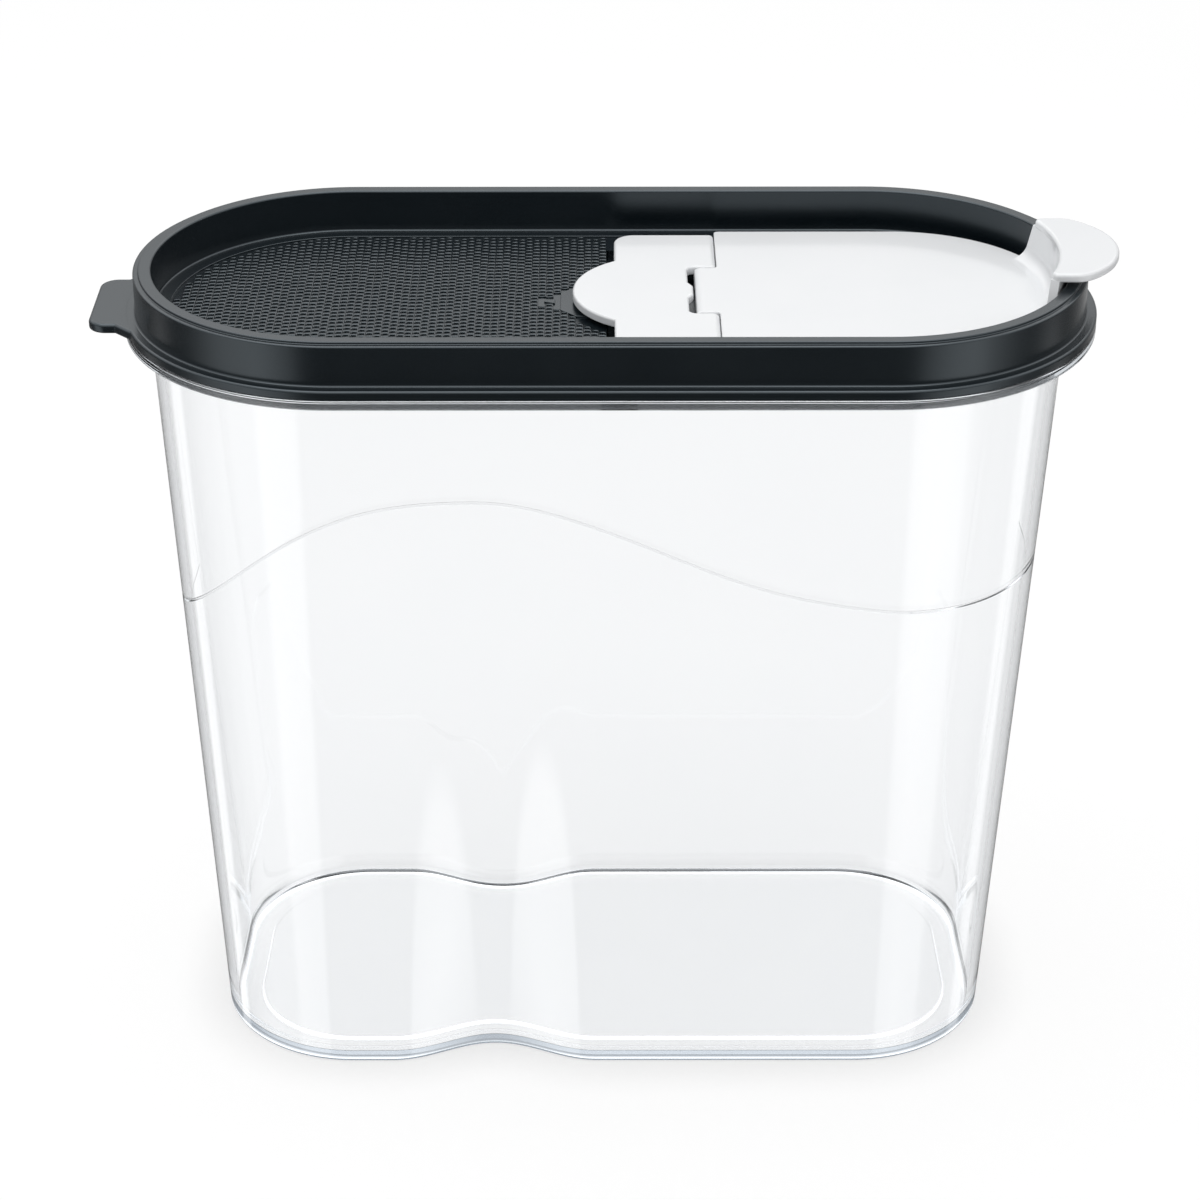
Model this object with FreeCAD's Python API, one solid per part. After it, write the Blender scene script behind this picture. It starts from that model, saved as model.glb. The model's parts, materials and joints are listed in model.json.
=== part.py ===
import FreeCAD, Part
import math
import os

# Pour-flap pantry container: a clear tapered tub, a dark snap lid with a sunken tray,
# and a white pour flap hinged on a white bridge that plugs into the tray.
# Millimetres. Origin on the middle of the base, +X to the pour end, +Y to the back, +Z up.

# Driving dimensions of the lid's plan, which the tub's mouth follows
LID_LENGTH = 211.6          # outside of the rim wall, end to end
LID_WIDTH = 93.4            # outside of the rim wall, front to back
LID_SHIFT = 2.05            # lid centre ahead of the base centre
RIM_FLANGE_REACH = 2.4      # lid flange and tub flange, out past the rim wall

# Rim section, from outside to inside: skirt wall, neck of the tub, tray wall
SKIRT_WALL = 1.2
NECK_WALL = 1.3
TRAY_WALL = 1.2
NECK_CLEARANCE = 0.2        # each side of the neck, and the plug below it
NECK_HEAD_CLEARANCE = 0.6   # over the neck's top edge

# Tub
BASE_LENGTH = 182.9
BASE_WIDTH = 85.0
BASE_CORNER = 32.0
BASE_SHIFT = 0.3
WALL_TOP_SHIFT = 1.4
WALL = 1.6
TUB_FLOOR = 2.0
FOOT_RADIUS = 0.9
INNER_FOOT_RADIUS = 3.5
SHOULDER = 2.4              # neck outside, out past the wall below it
SHOULDER_HEIGHT = 172.8     # underside of the tub's flange
TUB_FLANGE_THICK = 2.3
NECK_HEIGHT = 9.6
END_FLAT = 0.6              # half of the flat left at each rounded end of the mouth

# Grip waist: the long walls draw in at the foot, and fade to flat higher up
WAIST_FLAT = 9.6            # straight wall between the left corner and the waist
WAIST_LENGTH = 48.2
WAIST_DEPTH = 7.0
WAIST_TOP_DROP = 22.8       # where the waist has faded out, below the shoulder

# Wave line cut round the front wall, its heights counted down from the shoulder
WAVE_LEFT_DROP = 71.4
WAVE_LEFT_SLOPE = 1.07
WAVE_RISE_X = -66.0
WAVE_RISE_DROP = 33.5
WAVE_RISE_SLOPE = 0.62
WAVE_CREST_X = -28.0
WAVE_CREST_DROP = 24.8
WAVE_FALL_X = 40.0
WAVE_FALL_DROP = 47.3
WAVE_FALL_SLOPE = -0.27
WAVE_RIGHT_DROP = 52.7
WAVE_WIDTH = 1.0
WAVE_DEPTH = 0.35

# Lid heights, counted up from the face that sits on the tub's flange
LID_FLANGE_THICK = 2.3
RIM_HEIGHT = 12.1
RIM_STEP_WIDTH = 1.2
RIM_STEP_DROP = 0.6
TRAY_RISE = 2.2
TRAY_FLOOR = 1.6
LEDGE_WIDTH = 3.5
FIELD_DEPTH = 0.4           # grained field, below the ledge round it
TROUGH_FLOOR = 1.2          # walls of the pockets moulded under the tray

# Pull tab of the lid
PULL_LENGTH = 7.0
PULL_HALF_WIDTH = 13.2
PULL_CORNER = 4.0
PULL_ROOT = 4.0

# Smooth finger pad beside the bridge's tab
PAD_REACH = 2.7
PAD_HALF_WIDTH = 8.5
PAD_CHAMFER = 3.6

# White plates: pour flap and hinge bridge
PLATE_RISE = 2.7            # top face over the tray's ledge
PLATE_THICK = 1.8
PLATE_EDGE_RADIUS = 0.5
SKIRT_EDGE = 1.5            # wall of the skirt under each plate's border
SEAT_GAP = 0.3              # under the plates, over the grained field

# Hinge
HINGE_X = 22.9
BARREL_RADIUS = 2.0
TONGUE_HALF_WIDTH = 12.8
TONGUE_SIDE_GAP = 0.5
PIN_RADIUS = 1.1
PIN_REACH = 2.2
PIN_END_CLEARANCE = 0.3
PIN_CLEARANCE = 0.05
SEAM_RADIUS = 3.35          # edge of the bridge round the hinge axis
SEAM_CLEARANCE = 0.25
KNUCKLE_WALL = 1.0
KNUCKLE_LENGTH = 4.2
HINGE_CLEARANCE = 0.35      # barrel and knuckles to the trough round them

# Bridge
BRIDGE_LEFT = 2.9
BRIDGE_SIDE_GAP = 9.8       # from the tray wall
BRIDGE_CORNER = 3.8
TAB_REACH = 9.3
TAB_HALF_WIDTH = 17.0
NOTCH_ROOM = 1.5            # from the barrel back to the notch's far wall
STOP_HALF_WIDTH = 4.5
STOP_SLOPE = 2.2
STOP_GAP = 0.4
LEG_INSET = 1.8
LEG_THICK = 1.6
LEG_LENGTH = 18.0
LEG_END_INSET = 2.3         # from the bridge's side to the leg's outer end
LEG_DEPTH = 2.0             # below the skirt's lower edge
LEG_CLEARANCE = 0.3
LEG_SLOT_SHOW = 1.7         # part of the slot that shows beside the bridge

# Pour flap
FLAP_SIDE_GAP = 7.6         # from the tray wall
FLAP_CORNER = 1.2
RISER_WALL = 2.0
RISER_CLEARANCE = 0.7
RISER_HALF_WIDTH = 17.0
THUMB_LIFT = 1.3            # thumb tab's underside over the rim
THUMB_THICK = 2.0
THUMB_REACH = 6.7           # out past the rim wall
THUMB_TIP_RADIUS = 20.0
THUMB_CORNER = 6.0
THUMB_EDGE_RADIUS = 0.7
OPENING_BORDER = 7.0
OPENING_SETBACK = 11.0
OPENING_CORNER = 6.0
LIP_CLEARANCE = 0.3
LIP_WALL = 1.2
LIP_DROP = 1.4              # lip below the tray's underside

# Derived plan: insets from the outside of the rim wall
RIM_A = LID_LENGTH / 2
RIM_B = LID_WIDTH / 2
CHANNEL_OUTER = SKIRT_WALL
NECK_OUTER = CHANNEL_OUTER + NECK_CLEARANCE
NECK_INNER = NECK_OUTER + NECK_WALL
CHANNEL_INNER = NECK_INNER + NECK_CLEARANCE
TRAY_INSET = CHANNEL_INNER + TRAY_WALL
FIELD_INSET = TRAY_INSET + LEDGE_WIDTH
POUR_END_X = LID_SHIFT + RIM_A - RIM_B

# Derived heights
WAIST_TOP = SHOULDER_HEIGHT - WAIST_TOP_DROP
SEAT_Z = SHOULDER_HEIGHT + TUB_FLANGE_THICK
NECK_TOP = SEAT_Z + NECK_HEIGHT
CHANNEL_ROOF = NECK_TOP + NECK_HEAD_CLEARANCE
LID_FLANGE_TOP = SEAT_Z + LID_FLANGE_THICK
RIM_TOP = SEAT_Z + RIM_HEIGHT
TRAY_Z = SEAT_Z + TRAY_RISE
TRAY_UNDER = TRAY_Z - TRAY_FLOOR
FIELD_Z = TRAY_Z - FIELD_DEPTH
PLATE_TOP = TRAY_Z + PLATE_RISE
PLATE_UNDER = PLATE_TOP - PLATE_THICK
SKIRT_UNDER = FIELD_Z + SEAT_GAP
HINGE_Z = PLATE_TOP - BARREL_RADIUS
THUMB_UNDER = RIM_TOP + THUMB_LIFT
THUMB_TOP = THUMB_UNDER + THUMB_THICK

# Derived places of the hinge, the bridge and the flap
TRAY_HALF_WIDTH = RIM_B - TRAY_INSET
BRIDGE_HALF_WIDTH = TRAY_HALF_WIDTH - BRIDGE_SIDE_GAP
FLAP_HALF_WIDTH = TRAY_HALF_WIDTH - FLAP_SIDE_GAP
NOTCH_HALF = TONGUE_HALF_WIDTH + TONGUE_SIDE_GAP
NOTCH_LEFT = HINGE_X - BARREL_RADIUS - NOTCH_ROOM
KNUCKLE_RADIUS = PIN_RADIUS + PIN_CLEARANCE + KNUCKLE_WALL
KNUCKLE_END = NOTCH_HALF + KNUCKLE_LENGTH
LEG_LEFT = BRIDGE_LEFT + LEG_INSET
LEG_UNDER = SKIRT_UNDER - LEG_DEPTH
LEG_CENTRE_Y = BRIDGE_HALF_WIDTH - LEG_END_INSET - LEG_LENGTH / 2
RISER_OUTER = TRAY_HALF_WIDTH - RISER_CLEARANCE
RISER_INNER = RISER_OUTER - RISER_WALL
FLAP_RIGHT = POUR_END_X + RISER_OUTER - RISER_WALL / 2
OPENING_LEFT = HINGE_X + OPENING_SETBACK
OPENING_RIGHT = FLAP_RIGHT - OPENING_BORDER
OPENING_HALF = FLAP_HALF_WIDTH - OPENING_BORDER
LIP_UNDER = TRAY_UNDER - LIP_DROP

# Slack when edges are picked by their place
TOLERANCE = 0.001


def vec(x, y, z=0.0):
    return FreeCAD.Vector(x, y, z)


def line(p, q):
    return Part.LineSegment(p, q).toShape()


def arc(p, middle, q):
    return Part.Arc(p, middle, q).toShape()


def corner(cx, cy, radius, start_deg):
    """Quarter circle about (cx, cy), anticlockwise from start_deg, in the plane z = 0."""
    points = []
    for step in (0.0, 45.0, 90.0):
        angle = math.radians(start_deg + step)
        points.append(vec(cx + radius * math.cos(angle), cy + radius * math.sin(angle)))
    return arc(*points)


def prism(edges, z0, z1):
    """Upright solid over a closed outline drawn at z = 0."""
    face = Part.Face(Part.Wire(edges))
    face.translate(vec(0, 0, z0))
    return face.extrude(vec(0, 0, z1 - z0))


def block(x0, x1, half_width, z0, z1, centre_y=0.0):
    return Part.makeBox(x1 - x0, 2 * half_width, z1 - z0, vec(x0, centre_y - half_width, z0))


def rod_y(radius, y0, y1):
    """Cylinder on the hinge axis, from y0 to y1."""
    return Part.makeCylinder(radius, y1 - y0, vec(HINGE_X, y0, HINGE_Z), vec(0, 1, 0))


def fuse(first, *others):
    return first.multiFuse(list(others)).removeSplitter()


def rim_stadium(inset):
    """Round-ended outline that follows the rim wall, inset from its outside."""
    half = RIM_B - inset
    left = LID_SHIFT - (RIM_A - RIM_B)
    right = POUR_END_X
    return [
        line(vec(left, -half), vec(right, -half)),
        arc(vec(right, -half), vec(right + half, 0), vec(right, half)),
        line(vec(right, half), vec(left, half)),
        arc(vec(left, half), vec(left - half, 0), vec(left, -half)),
    ]


def rim_prism(inset, z0, z1):
    return prism(rim_stadium(inset), z0, z1)


def pour_outline(left, right, half, radius):
    """Outline with a round right end and two small corners on the left."""
    centre = right - half
    return [
        line(vec(left + radius, -half), vec(centre, -half)),
        arc(vec(centre, -half), vec(right, 0), vec(centre, half)),
        line(vec(centre, half), vec(left + radius, half)),
        corner(left + radius, half - radius, radius, 90),
        line(vec(left, half - radius), vec(left, radius - half)),
        corner(left + radius, radius - half, radius, 180),
    ]


def top_edges(shape, z):
    """Edges that lie wholly in the plane at height z."""
    found = []
    for edge in shape.Edges:
        box = edge.BoundBox
        if abs(box.ZMin - z) < TOLERANCE and abs(box.ZMax - z) < TOLERANCE:
            found.append(edge)
    return found


def waist_edge(x0, x1, y, depth):
    """Soft dip in a long wall, level at both ends."""
    shares = (0.0, 0.5, 1.0, 0.5, 0.0)
    points = []
    for index, share in enumerate(shares):
        x = x0 + (x1 - x0) * index / (len(shares) - 1)
        points.append(vec(x, y + depth * share))
    along = vec(x1 - x0, 0)
    curve = Part.BSplineCurve()
    curve.interpolate(Points=points, InitialTangent=along, FinalTangent=along)
    return curve.toShape()


def tub_section(z, inset):
    """Closed outline of the tub's wall at height z, inset from the outside."""
    share = z / SHOULDER_HEIGHT
    top_a = RIM_A - NECK_OUTER - SHOULDER
    top_b = RIM_B - NECK_OUTER - SHOULDER
    a = BASE_LENGTH / 2 * (1 - share) + top_a * share - inset
    b = BASE_WIDTH / 2 * (1 - share) + top_b * share - inset
    r = BASE_CORNER * (1 - share) + (top_b - END_FLAT) * share - inset
    shift = BASE_SHIFT * (1 - share) + WALL_TOP_SHIFT * share
    dip = WAIST_DEPTH * max(0.0, 1 - z / WAIST_TOP)
    right = shift + a
    left = shift - a
    w0 = left + r + WAIST_FLAT
    w1 = w0 + WAIST_LENGTH
    wire = Part.Wire([
        line(vec(right, r - b), vec(right, b - r)),
        corner(right - r, b - r, r, 0),
        line(vec(right - r, b), vec(w1, b)),
        waist_edge(w1, w0, b, -dip),
        line(vec(w0, b), vec(left + r, b)),
        corner(left + r, b - r, r, 90),
        line(vec(left, b - r), vec(left, r - b)),
        corner(left + r, r - b, r, 180),
        line(vec(left + r, -b), vec(w0, -b)),
        waist_edge(w0, w1, -b, dip),
        line(vec(w1, -b), vec(right - r, -b)),
        corner(right - r, r - b, r, 270),
    ])
    wire.translate(vec(0, 0, z))
    return wire


def tub_solid(z0, z1, inset):
    """Tapered solid between two heights, with the waist running out at WAIST_TOP."""
    return Part.makeLoft([tub_section(z, inset) for z in (z0, WAIST_TOP, z1)], True, True)


def wave_groove():
    """Thin band that follows the wave line, kept outside the bottom of the groove."""
    marks = [
        (LID_SHIFT - RIM_A, WAVE_LEFT_DROP, WAVE_LEFT_SLOPE),
        (WAVE_RISE_X, WAVE_RISE_DROP, WAVE_RISE_SLOPE),
        (WAVE_CREST_X, WAVE_CREST_DROP, 0.0),
        (WAVE_FALL_X, WAVE_FALL_DROP, WAVE_FALL_SLOPE),
        (LID_SHIFT + RIM_A, WAVE_RIGHT_DROP, 0.0),
    ]
    curve = Part.BSplineCurve()
    curve.interpolate(
        Points=[vec(x, 0, SHOULDER_HEIGHT - drop) for x, drop, slope in marks],
        Parameters=[x for x, drop, slope in marks],
        Tangents=[vec(1, 0, slope) for x, drop, slope in marks],
        TangentFlags=[True] * len(marks),
        Scale=False,
    )
    upper = curve.toShape()
    upper.translate(vec(0, 0, WAVE_WIDTH / 2))
    lower = curve.toShape()
    lower.translate(vec(0, 0, -WAVE_WIDTH / 2))
    band = Part.makeRuledSurface(lower, upper)
    front = band.extrude(vec(0, -LID_WIDTH, 0))
    return front.cut(tub_solid(0, SHOULDER_HEIGHT, WAVE_DEPTH))


def container_body():
    outside = tub_solid(0, SHOULDER_HEIGHT, 0)
    outside = outside.makeFillet(FOOT_RADIUS, top_edges(outside, 0))
    inside = tub_solid(TUB_FLOOR, SHOULDER_HEIGHT, WALL)
    inside = inside.makeFillet(INNER_FOOT_RADIUS, top_edges(inside, TUB_FLOOR))
    mouth = Part.Face(tub_section(SHOULDER_HEIGHT, WALL)).extrude(vec(0, 0, TUB_FLANGE_THICK))
    flange = rim_prism(-RIM_FLANGE_REACH, SHOULDER_HEIGHT, SEAT_Z).cut(mouth)
    neck = rim_prism(NECK_OUTER, SEAT_Z, NECK_TOP).cut(rim_prism(NECK_INNER, SEAT_Z, NECK_TOP))
    wall = outside.cut(inside).cut(wave_groove())
    return fuse(wall, flange, neck)


def pull_tab():
    """Grip at the lid's plain end, with hollow corners where it leaves the flange."""
    half = RIM_B + RIM_FLANGE_REACH
    centre = LID_SHIFT - (RIM_A - RIM_B)
    w = PULL_HALF_WIDTH
    end = centre - half - PULL_LENGTH
    root = centre - math.sqrt(half ** 2 - (w + PULL_ROOT) ** 2)
    bow = PULL_ROOT * (1 - math.sqrt(0.5))
    edges = [
        line(vec(centre, w + PULL_ROOT), vec(root, w + PULL_ROOT)),
        arc(vec(root, w + PULL_ROOT), vec(root - bow, w + bow), vec(root - PULL_ROOT, w)),
        line(vec(root - PULL_ROOT, w), vec(end + PULL_CORNER, w)),
        corner(end + PULL_CORNER, w - PULL_CORNER, PULL_CORNER, 90),
        line(vec(end, w - PULL_CORNER), vec(end, PULL_CORNER - w)),
        corner(end + PULL_CORNER, PULL_CORNER - w, PULL_CORNER, 180),
        line(vec(end + PULL_CORNER, -w), vec(root - PULL_ROOT, -w)),
        arc(vec(root - PULL_ROOT, -w), vec(root - bow, -w - bow), vec(root, -w - PULL_ROOT)),
        line(vec(root, -w - PULL_ROOT), vec(centre, -w - PULL_ROOT)),
        line(vec(centre, -w - PULL_ROOT), vec(centre, w + PULL_ROOT)),
    ]
    return prism(edges, SEAT_Z, LID_FLANGE_TOP).cut(rim_prism(CHANNEL_OUTER, SEAT_Z, LID_FLANGE_TOP))


def finger_pad():
    """Smooth raised patch in the grained field, under and beside the bridge's tab."""
    left = BRIDGE_LEFT - TAB_REACH - PAD_REACH
    right = BRIDGE_LEFT - LEG_SLOT_SHOW
    points = [
        vec(right, -PAD_HALF_WIDTH),
        vec(right, PAD_HALF_WIDTH),
        vec(left + PAD_CHAMFER, PAD_HALF_WIDTH),
        vec(left, PAD_HALF_WIDTH - PAD_CHAMFER),
        vec(left, PAD_CHAMFER - PAD_HALF_WIDTH),
        vec(left + PAD_CHAMFER, -PAD_HALF_WIDTH),
        vec(right, -PAD_HALF_WIDTH),
    ]
    return prism(Part.makePolygon(points).Edges, FIELD_Z, TRAY_Z)


def trough(grow):
    """Space round the hinge barrel and knuckles, grown outwards for the pocket's wall."""
    room = HINGE_CLEARANCE + grow
    return block(
        NOTCH_LEFT - room,
        HINGE_X + SEAM_RADIUS + room,
        KNUCKLE_END + room,
        HINGE_Z - KNUCKLE_RADIUS - room,
        TRAY_Z,
    )


def leg_slots(grow):
    """Sockets for the bridge's two legs, grown outwards for the pockets' walls."""
    slots = []
    for side in (-1, 1):
        slots.append(block(
            BRIDGE_LEFT - LEG_SLOT_SHOW - grow,
            LEG_LEFT + LEG_THICK + LEG_CLEARANCE + grow,
            LEG_LENGTH / 2 + LEG_CLEARANCE + grow,
            LEG_UNDER - LEG_CLEARANCE - grow,
            TRAY_Z,
            side * LEG_CENTRE_Y,
        ))
    return slots


def lid():
    flange = rim_prism(-RIM_FLANGE_REACH, SEAT_Z, LID_FLANGE_TOP)
    rim = rim_prism(0, SEAT_Z, RIM_TOP - RIM_STEP_DROP)
    crown = rim_prism(RIM_STEP_WIDTH, RIM_TOP - RIM_STEP_DROP, RIM_TOP)
    plug = rim_prism(CHANNEL_INNER, SEAT_Z, CHANNEL_ROOF)
    channel = rim_prism(CHANNEL_OUTER, SEAT_Z, CHANNEL_ROOF).cut(plug)
    shell = fuse(flange, rim, crown, pull_tab()).cut(channel)
    shell = shell.cut(rim_prism(TRAY_INSET, TRAY_Z, RIM_TOP))
    shell = shell.cut(rim_prism(CHANNEL_INNER, SEAT_Z, TRAY_UNDER))
    shell = shell.cut(rim_prism(FIELD_INSET, FIELD_Z, TRAY_Z))
    pockets = [trough(TROUGH_FLOOR)] + leg_slots(TROUGH_FLOOR)
    below = rim_prism(TRAY_INSET, LEG_UNDER - TRAY_Z, FIELD_Z)
    shell = fuse(shell, finger_pad(), *[pocket.common(below) for pocket in pockets])
    for space in [trough(0)] + leg_slots(0):
        shell = shell.cut(space)
    opening = pour_outline(OPENING_LEFT, OPENING_RIGHT, OPENING_HALF, OPENING_CORNER)
    return shell.cut(prism(opening, LIP_UNDER, TRAY_Z))


def bridge_plate():
    """Flat of the bridge with its round tab, up to the hinge axis."""
    w = BRIDGE_HALF_WIDTH
    c = BRIDGE_CORNER
    tab_left = BRIDGE_LEFT - TAB_REACH
    edges = [
        line(vec(HINGE_X, -w), vec(HINGE_X, w)),
        line(vec(HINGE_X, w), vec(BRIDGE_LEFT + c, w)),
        corner(BRIDGE_LEFT + c, w - c, c, 90),
        line(vec(BRIDGE_LEFT, w - c), vec(BRIDGE_LEFT, TAB_HALF_WIDTH)),
        arc(vec(BRIDGE_LEFT, TAB_HALF_WIDTH), vec(tab_left, 0), vec(BRIDGE_LEFT, -TAB_HALF_WIDTH)),
        line(vec(BRIDGE_LEFT, -TAB_HALF_WIDTH), vec(BRIDGE_LEFT, c - w)),
        corner(BRIDGE_LEFT + c, c - w, c, 180),
        line(vec(BRIDGE_LEFT + c, -w), vec(HINGE_X, -w)),
    ]
    plate = prism(edges, PLATE_UNDER, PLATE_TOP)
    rounded = [edge for edge in top_edges(plate, PLATE_TOP) if edge.BoundBox.XMin < HINGE_X - TOLERANCE]
    return plate.makeFillet(PLATE_EDGE_RADIUS, rounded)


def stop_bump():
    """Stop in the middle of the notch, which the flap's tongue meets when it stands open."""
    right = HINGE_X - BARREL_RADIUS - STOP_GAP
    points = [
        vec(NOTCH_LEFT, -STOP_HALF_WIDTH),
        vec(right, STOP_SLOPE - STOP_HALF_WIDTH),
        vec(right, STOP_HALF_WIDTH - STOP_SLOPE),
        vec(NOTCH_LEFT, STOP_HALF_WIDTH),
        vec(NOTCH_LEFT, -STOP_HALF_WIDTH),
    ]
    return prism(Part.makePolygon(points).Edges, SKIRT_UNDER, PLATE_TOP)


def hinge_bridge():
    w = BRIDGE_HALF_WIDTH
    skirt_right = HINGE_X + SEAM_RADIUS
    skirt = block(BRIDGE_LEFT + PLATE_EDGE_RADIUS, HINGE_X, w - BRIDGE_CORNER, SKIRT_UNDER, PLATE_UNDER)
    hollow = block(
        LEG_LEFT + LEG_THICK + SKIRT_EDGE,
        NOTCH_LEFT - SKIRT_EDGE,
        w - BRIDGE_CORNER - SKIRT_EDGE,
        SKIRT_UNDER,
        PLATE_UNDER,
    )
    nose = rod_y(SEAM_RADIUS, -w, w).common(block(HINGE_X, skirt_right, w, SKIRT_UNDER, PLATE_TOP))
    notch = block(NOTCH_LEFT, skirt_right, NOTCH_HALF, HINGE_Z - SEAM_RADIUS, PLATE_TOP)
    legs = []
    knuckles = []
    sockets = []
    depth = PIN_REACH + PIN_END_CLEARANCE
    for side in (-1, 1):
        legs.append(block(LEG_LEFT, LEG_LEFT + LEG_THICK, LEG_LENGTH / 2, LEG_UNDER, SKIRT_UNDER,
                          side * LEG_CENTRE_Y))
        near, far = sorted((side * NOTCH_HALF, side * KNUCKLE_END))
        knuckles.append(rod_y(KNUCKLE_RADIUS, near, far))
        near, far = sorted((side * NOTCH_HALF, side * (NOTCH_HALF + depth)))
        sockets.append(rod_y(PIN_RADIUS + PIN_CLEARANCE, near, far))
    solid = fuse(bridge_plate(), skirt, nose).cut(hollow).cut(notch)
    solid = fuse(solid, stop_bump(), *legs, *knuckles)
    for socket in sockets:
        solid = solid.cut(socket)
    return solid


def thumb_tab():
    """Tab over the rim, carried by a curved riser that hugs the tray wall."""
    w = RISER_HALF_WIDTH
    inner_x = POUR_END_X + math.sqrt(RISER_INNER ** 2 - w ** 2)
    tip_x = LID_SHIFT + RIM_A + THUMB_REACH
    side_x = tip_x - THUMB_TIP_RADIUS + math.sqrt(THUMB_TIP_RADIUS ** 2 - w ** 2)
    front = vec(inner_x, -w)
    back = vec(inner_x, w)
    edges = [
        arc(front, vec(POUR_END_X + RISER_INNER, 0), back),
        line(back, vec(side_x, w)),
        arc(vec(side_x, w), vec(tip_x, 0), vec(side_x, -w)),
        line(vec(side_x, -w), front),
    ]
    tab = prism(edges, THUMB_UNDER, THUMB_TOP)
    upright = [edge for edge in tab.Edges if edge.BoundBox.ZLength > THUMB_THICK / 2
               and edge.BoundBox.XMin > (inner_x + side_x) / 2]
    tab = tab.makeFillet(THUMB_CORNER, upright)
    height = THUMB_UNDER - PLATE_UNDER
    foot = vec(POUR_END_X, 0, PLATE_UNDER)
    riser = Part.makeCylinder(RISER_OUTER, height, foot).cut(Part.makeCylinder(RISER_INNER, height, foot))
    riser = riser.common(block(POUR_END_X, tip_x, RISER_HALF_WIDTH, PLATE_UNDER, THUMB_UNDER))
    whole = fuse(tab, riser)
    return whole.makeFillet(THUMB_EDGE_RADIUS, top_edges(whole, THUMB_TOP))


def ledge_room():
    """Space kept over the tray's ledge, where the flap's skirt crosses it."""
    top = TRAY_Z + SEAT_GAP
    return rim_prism(TRAY_INSET, SKIRT_UNDER, top).cut(rim_prism(FIELD_INSET + SEAT_GAP, SKIRT_UNDER, top))


def lip_outline(gap):
    return pour_outline(OPENING_LEFT + gap, OPENING_RIGHT - gap, OPENING_HALF - gap, OPENING_CORNER - gap)


def pour_flap():
    w = FLAP_HALF_WIDTH
    plate = prism(pour_outline(HINGE_X, FLAP_RIGHT, w, FLAP_CORNER), PLATE_UNDER, PLATE_TOP)
    plate = plate.makeFillet(PLATE_EDGE_RADIUS, top_edges(plate, PLATE_TOP))
    skirt = prism(pour_outline(HINGE_X, FLAP_RIGHT, w, FLAP_CORNER), SKIRT_UNDER, PLATE_UNDER)
    inner = pour_outline(HINGE_X + SEAM_RADIUS + SEAM_CLEARANCE + SKIRT_EDGE, FLAP_RIGHT - SKIRT_EDGE,
                         w - SKIRT_EDGE, OPENING_CORNER)
    skirt = skirt.cut(prism(inner, SKIRT_UNDER, PLATE_UNDER))
    lip = prism(lip_outline(LIP_CLEARANCE), LIP_UNDER, PLATE_UNDER)
    lip = lip.cut(prism(lip_outline(LIP_CLEARANCE + LIP_WALL), LIP_UNDER, PLATE_UNDER))
    seam = rod_y(SEAM_RADIUS + SEAM_CLEARANCE, -w, w)
    leaf = fuse(plate, skirt).cut(seam).cut(ledge_room())
    leaf = leaf.cut(block(HINGE_X - SEAM_RADIUS, HINGE_X + BARREL_RADIUS, w, SKIRT_UNDER, PLATE_TOP))
    t = TONGUE_HALF_WIDTH
    barrel = rod_y(BARREL_RADIUS, -t, t)
    tongue = block(HINGE_X, HINGE_X + SEAM_RADIUS + SEAM_CLEARANCE + SKIRT_EDGE, t, PLATE_UNDER, PLATE_TOP)
    pin = rod_y(PIN_RADIUS, -NOTCH_HALF - PIN_REACH, NOTCH_HALF + PIN_REACH)
    return fuse(leaf, lip, barrel, tongue, pin, thumb_tab())


NODES = {
    "container_body": container_body,
    "lid": lid,
    "hinge_bridge": hinge_bridge,
    "pour_flap": pour_flap,
}

os.makedirs("parts", exist_ok=True)
for name, build in NODES.items():
    shape = build()
    solids = shape.Solids
    print(name, "solids", len(solids), "valid", shape.isValid(), "volume", round(shape.Volume, 1))
    shape.exportStep("parts/" + name + ".step")
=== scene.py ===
import json
import math
import random

import bmesh
import bpy
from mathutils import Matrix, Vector


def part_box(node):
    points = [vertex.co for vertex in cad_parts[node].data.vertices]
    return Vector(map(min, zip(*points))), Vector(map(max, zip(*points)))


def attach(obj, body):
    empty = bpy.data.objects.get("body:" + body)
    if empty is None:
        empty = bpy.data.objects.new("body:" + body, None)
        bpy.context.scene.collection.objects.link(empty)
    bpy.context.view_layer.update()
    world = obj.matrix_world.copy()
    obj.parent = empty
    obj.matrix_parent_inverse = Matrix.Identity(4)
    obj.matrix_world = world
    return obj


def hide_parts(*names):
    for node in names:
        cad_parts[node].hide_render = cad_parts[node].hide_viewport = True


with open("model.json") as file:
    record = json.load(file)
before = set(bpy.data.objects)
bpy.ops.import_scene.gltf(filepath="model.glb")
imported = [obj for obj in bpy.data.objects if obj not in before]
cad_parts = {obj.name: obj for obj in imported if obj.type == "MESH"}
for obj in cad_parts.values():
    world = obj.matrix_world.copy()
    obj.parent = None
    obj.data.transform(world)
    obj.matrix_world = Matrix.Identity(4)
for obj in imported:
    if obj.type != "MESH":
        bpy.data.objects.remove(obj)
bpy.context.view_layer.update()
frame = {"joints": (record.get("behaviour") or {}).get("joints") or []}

# Looks of a clear pantry container with a dark snap lid and a white pour flap.
# Lengths are millimetres in the part's own frame, and MM turns them into metres.
MM = 0.001


def node_box(name):
    low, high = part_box(name)
    return Vector(low) / MM, Vector(high) / MM


# Places read from the frame
tub_low, tub_high = node_box("container_body")
lid_low, lid_high = node_box("lid")
bridge_low, bridge_high = node_box("hinge_bridge")
flap_low, flap_high = node_box("pour_flap")
hinge = next(joint for joint in frame["joints"] if joint["name"] == "flap_hinge")
HINGE_X = hinge["pos_m"][0] / MM
HINGE_Z = hinge["pos_m"][2] / MM

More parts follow.
